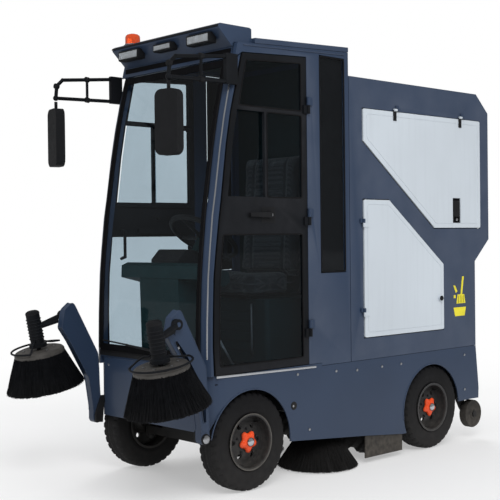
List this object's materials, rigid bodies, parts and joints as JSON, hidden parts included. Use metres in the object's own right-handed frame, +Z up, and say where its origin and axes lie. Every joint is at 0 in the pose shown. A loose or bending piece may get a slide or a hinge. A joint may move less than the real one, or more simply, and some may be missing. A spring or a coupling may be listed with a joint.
{
  "type": "ride-on sweeper",
  "caption": "Ride-on street sweeper with a glazed two-door cab, raised front side brushes on swing arms, mid side brushes, roller brush and a boxy rear hopper with hatches.",
  "frame": {"origin": "middle of the machine's footprint on the ground", "axes": "+Z up, front of the machine towards -Y, machine's left side towards +X"},
  "size_m": [1.372, 2.6912, 2.248],
  "materials": {
    "slate_paint": "satin slate blue-grey paint",
    "white_panel": "pale grey-white satin paint",
    "frame_paint": "black chassis paint",
    "glass": "tinted glass",
    "black_plastic": "moulded black plastic",
    "rubber": "black rubber",
    "tyre": "black tyre rubber",
    "rim": "black painted steel rim",
    "steel": "zinc plated steel",
    "bristle": "black nylon bristle",
    "orange_lens": "orange lens",
    "lamp": "clear lamp unit",
    "red_button": "red plastic",
    "seat_fabric": "black woven seat fabric",
    "bin": "grey primer"
  },
  "bodies": {
    "chassis": {"chassis_frame": "frame_paint", "lower_body_panels": "slate_paint", "cab_frame": "slate_paint", "cab_roof": "slate_paint", "cab_glass": "glass", "hopper_shell": "slate_paint", "dashboard": "black_plastic", "battery_pack": "black_plastic", "suction_fan": "bin", "dust_bin": "bin", "rear_transaxle": "frame_paint", "roof_lamps": "lamp", "beacon": "orange_lens", "mirror_brackets": "frame_paint", "rubber_skirts": "rubber", "body_fasteners": "steel"},
    "left_door": {"left_door_frame": "frame_paint", "left_door_glass": "glass"},
    "left_window": {"left_sliding_window": "glass"},
    "left_handle": {"left_door_handle": "black_plastic"},
    "left_upper_hatch_leaf": {"left_upper_hatch": "white_panel"},
    "left_lower_hatch_leaf": {"left_lower_hatch": "white_panel"},
    "left_steer_knuckle": {"left_knuckle": "frame_paint"},
    "left_front_wheel": {"left_front_tyre": "tyre", "left_front_rim": "rim"},
    "left_rear_wheel": {"left_rear_tyre": "tyre", "left_rear_rim": "rim"},
    "left_arm": {"left_brush_arm": "slate_paint"},
    "left_head": {"left_brush_head": "frame_paint"},
    "left_front_brush_disc": {"left_front_brush": "bristle"},
    "left_mid_brush_disc": {"left_mid_brush": "bristle"},
    "left_mirror": {"left_mirror_head": "black_plastic"},
    "left_bumper_roller": {"left_rear_roller": "rubber"},
    "right_door": {"right_door_frame": "frame_paint", "right_door_glass": "glass"},
    "right_window": {"right_sliding_window": "glass"},
    "right_handle": {"right_door_handle": "black_plastic"},
    "right_upper_hatch_leaf": {"right_upper_hatch": "white_panel"},
    "right_lower_hatch_leaf": {"right_lower_hatch": "white_panel"},
    "right_steer_knuckle": {"right_knuckle": "frame_paint"},
    "right_front_wheel": {"right_front_tyre": "tyre", "right_front_rim": "rim"},
    "right_rear_wheel": {"right_rear_tyre": "tyre", "right_rear_rim": "rim"},
    "right_arm": {"right_brush_arm": "slate_paint"},
    "right_head": {"right_brush_head": "frame_paint"},
    "right_front_brush_disc": {"right_front_brush": "bristle"},
    "right_mid_brush_disc": {"right_mid_brush": "bristle"},
    "right_mirror": {"right_mirror_head": "black_plastic"},
    "right_bumper_roller": {"right_rear_roller": "rubber"},
    "steering": {"steering_wheel": "black_plastic"},
    "gate": {"rear_gate": "slate_paint"},
    "roller_swing": {"roller_arm": "frame_paint"},
    "roller": {"roller_brush": "bristle"},
    "wiper_arm": {"wiper": "black_plastic"},
    "accelerator": {"accelerator_pedal": "steel"},
    "brake": {"brake_pedal": "steel"},
    "stop": {"stop_button": "red_button"},
    "seat": {"seat_cushion": "seat_fabric"},
    "backrest": {"seat_back": "seat_fabric"}
  },
  "joints": [
    {"name": "left_door_swing", "type": "hinge", "parent": "chassis", "child": "left_door", "pos_m": [0.45, -0.2174, 1.3], "axis": [0, 0, 1], "range_deg": [0, 75]},
    {"name": "left_window_slide", "type": "slide", "parent": "left_door", "child": "left_window", "axis": [0, 1, 0], "range_m": [0, 0.22]},
    {"name": "left_handle_turn", "type": "hinge", "parent": "left_door", "child": "left_handle", "pos_m": [0.45, -0.4844, 1.3], "axis": [1, 0, 0], "range_deg": [-35, 0], "stiffness_Nm_per_rad": 2},
    {"name": "left_upper_hatch_swing", "type": "hinge", "parent": "chassis", "child": "left_upper_hatch_leaf", "pos_m": [0.452, 0.7156, 1.868], "axis": [0, -1, 0], "range_deg": [0, 85]},
    {"name": "left_lower_hatch_swing", "type": "hinge", "parent": "chassis", "child": "left_lower_hatch_leaf", "pos_m": [0.452, 0.1896, 1.024], "axis": [0, 0, -1], "range_deg": [0, 100]},
    {"name": "left_steer_turn", "type": "hinge", "parent": "chassis", "child": "left_steer_knuckle", "pos_m": [0.33, -0.6194, 0.233], "axis": [0, 0, 1], "range_deg": [-25, 25]},
    {"name": "left_front_wheel_roll", "type": "hinge", "parent": "left_steer_knuckle", "child": "left_front_wheel", "pos_m": [0.38, -0.6194, 0.233], "axis": [1, 0, 0], "continuous": true},
    {"name": "left_rear_wheel_roll", "type": "hinge", "parent": "chassis", "child": "left_rear_wheel", "pos_m": [0.38, 0.7706, 0.233], "axis": [1, 0, 0], "continuous": true},
    {"name": "left_arm_lower", "type": "hinge", "parent": "chassis", "child": "left_arm", "pos_m": [0.422, -0.9024, 0.285], "axis": [1, 0, 0], "range_deg": [0, 57]},
    {"name": "left_head_tilt", "type": "hinge", "parent": "left_arm", "child": "left_head", "pos_m": [0.456, -1.0704, 0.815], "axis": [1, 0, 0], "range_deg": [-57, 0]},
    {"name": "left_front_brush_spin", "type": "hinge", "parent": "left_head", "child": "left_front_brush_disc", "pos_m": [0.488, -1.1864, 0.64], "axis": [0, -0.1908, 0.9816], "continuous": true},
    {"name": "left_mid_brush_spin", "type": "hinge", "parent": "chassis", "child": "left_mid_brush_disc", "pos_m": [0.274, 0.0066, 0.16], "axis": [0, 0, 1], "continuous": true},
    {"name": "left_mirror_swivel", "type": "hinge", "parent": "chassis", "child": "left_mirror", "pos_m": [0.449, -1.0954, 1.86], "axis": [0, 0, 1], "range_deg": [-30, 30]},
    {"name": "left_rear_roller_spin", "type": "hinge", "parent": "chassis", "child": "left_bumper_roller", "pos_m": [0.408, 1.1756, 0.145], "axis": [1, 0, 0], "continuous": true},
    {"name": "right_door_swing", "type": "hinge", "parent": "chassis", "child": "right_door", "pos_m": [-0.45, -0.2174, 1.3], "axis": [0, 0, -1], "range_deg": [0, 75]},
    {"name": "right_window_slide", "type": "slide", "parent": "right_door", "child": "right_window", "axis": [0, 1, 0], "range_m": [0, 0.22]},
    {"name": "right_handle_turn", "type": "hinge", "parent": "right_door", "child": "right_handle", "pos_m": [-0.45, -0.4844, 1.3], "axis": [1, 0, 0], "range_deg": [-35, 0], "stiffness_Nm_per_rad": 2},
    {"name": "right_upper_hatch_swing", "type": "hinge", "parent": "chassis", "child": "right_upper_hatch_leaf", "pos_m": [-0.452, 0.7156, 1.868], "axis": [0, 1, 0], "range_deg": [0, 85]},
    {"name": "right_lower_hatch_swing", "type": "hinge", "parent": "chassis", "child": "right_lower_hatch_leaf", "pos_m": [-0.452, 0.1896, 1.024], "axis": [0, 0, 1], "range_deg": [0, 100]},
    {"name": "right_steer_turn", "type": "hinge", "parent": "chassis", "child": "right_steer_knuckle", "pos_m": [-0.33, -0.6194, 0.233], "axis": [0, 0, 1], "range_deg": [-25, 25]},
    {"name": "right_front_wheel_roll", "type": "hinge", "parent": "right_steer_knuckle", "child": "right_front_wheel", "pos_m": [-0.38, -0.6194, 0.233], "axis": [1, 0, 0], "continuous": true},
    {"name": "right_rear_wheel_roll", "type": "hinge", "parent": "chassis", "child": "right_rear_wheel", "pos_m": [-0.38, 0.7706, 0.233], "axis": [1, 0, 0], "continuous": true},
    {"name": "right_arm_lower", "type": "hinge", "parent": "chassis", "child": "right_arm", "pos_m": [-0.422, -0.9024, 0.285], "axis": [1, 0, 0], "range_deg": [0, 57]},
    {"name": "right_head_tilt", "type": "hinge", "parent": "right_arm", "child": "right_head", "pos_m": [-0.456, -1.0704, 0.815], "axis": [1, 0, 0], "range_deg": [-57, 0]},
    {"name": "right_front_brush_spin", "type": "hinge", "parent": "right_head", "child": "right_front_brush_disc", "pos_m": [-0.488, -1.1864, 0.64], "axis": [0, -0.1908, 0.9816], "continuous": true},
    {"name": "right_mid_brush_spin", "type": "hinge", "parent": "chassis", "child": "right_mid_brush_disc", "pos_m": [-0.274, 0.0066, 0.16], "axis": [0, 0, 1], "continuous": true},
    {"name": "right_mirror_swivel", "type": "hinge", "parent": "chassis", "child": "right_mirror", "pos_m": [-0.449, -1.0954, 1.86], "axis": [0, 0, 1], "range_deg": [-30, 30]},
    {"name": "right_rear_roller_spin", "type": "hinge", "parent": "chassis", "child": "right_bumper_roller", "pos_m": [-0.408, 1.1756, 0.145], "axis": [1, 0, 0], "continuous": true},
    {"name": "steering_turn", "type": "hinge", "parent": "chassis", "child": "steering", "pos_m": [0, -0.5344, 1.18], "axis": [0, 0.5647, 0.8253], "range_deg": [-375, 375]},
    {"name": "gate_swing", "type": "hinge", "parent": "chassis", "child": "gate", "pos_m": [0, 1.3376, 1.876], "axis": [1, 0, 0], "range_deg": [0, 85]},
    {"name": "roller_lift", "type": "hinge", "parent": "chassis", "child": "roller_swing", "pos_m": [0, 0.1556, 0.205], "axis": [1, 0, 0], "range_deg": [0, 8]},
    {"name": "roller_spin", "type": "hinge", "parent": "roller_swing", "child": "roller", "pos_m": [0, 0.4056, 0.131], "axis": [1, 0, 0], "continuous": true},
    {"name": "wiper_sweep", "type": "hinge", "parent": "chassis", "child": "wiper_arm", "pos_m": [0.06, -0.9014, 0.655], "axis": [0, 0.9984, -0.0565], "range_deg": [0, 95]},
    {"name": "accelerator_press", "type": "hinge", "parent": "chassis", "child": "accelerator", "pos_m": [0.225, -0.5604, 0.574], "axis": [1, 0, 0], "range_deg": [0, 15], "stiffness_Nm_per_rad": 8},
    {"name": "brake_press", "type": "hinge", "parent": "chassis", "child": "brake", "pos_m": [-0.225, -0.5604, 0.574], "axis": [1, 0, 0], "range_deg": [0, 15], "stiffness_Nm_per_rad": 12},
    {"name": "stop_press", "type": "slide", "parent": "chassis", "child": "stop", "axis": [0, 0, -1], "range_m": [0, 0.004], "stiffness_N_per_m": 900},
    {"name": "seat_slide", "type": "slide", "parent": "chassis", "child": "seat", "axis": [0, -1, 0], "range_m": [0, 0.1]},
    {"name": "backrest_tilt", "type": "hinge", "parent": "seat", "child": "backrest", "pos_m": [0, -0.0394, 0.985], "axis": [1, 0, 0], "range_deg": [0, 25]}
  ],
  "couplings": [
    {"joint": "left_head_tilt", "follows": "left_arm_lower", "ratio": -1},
    {"joint": "right_head_tilt", "follows": "right_arm_lower", "ratio": -1},
    {"joint": "right_steer_turn", "follows": "left_steer_turn", "ratio": 1},
    {"joint": "steering_turn", "follows": "left_steer_turn", "ratio": 15}
  ]
}
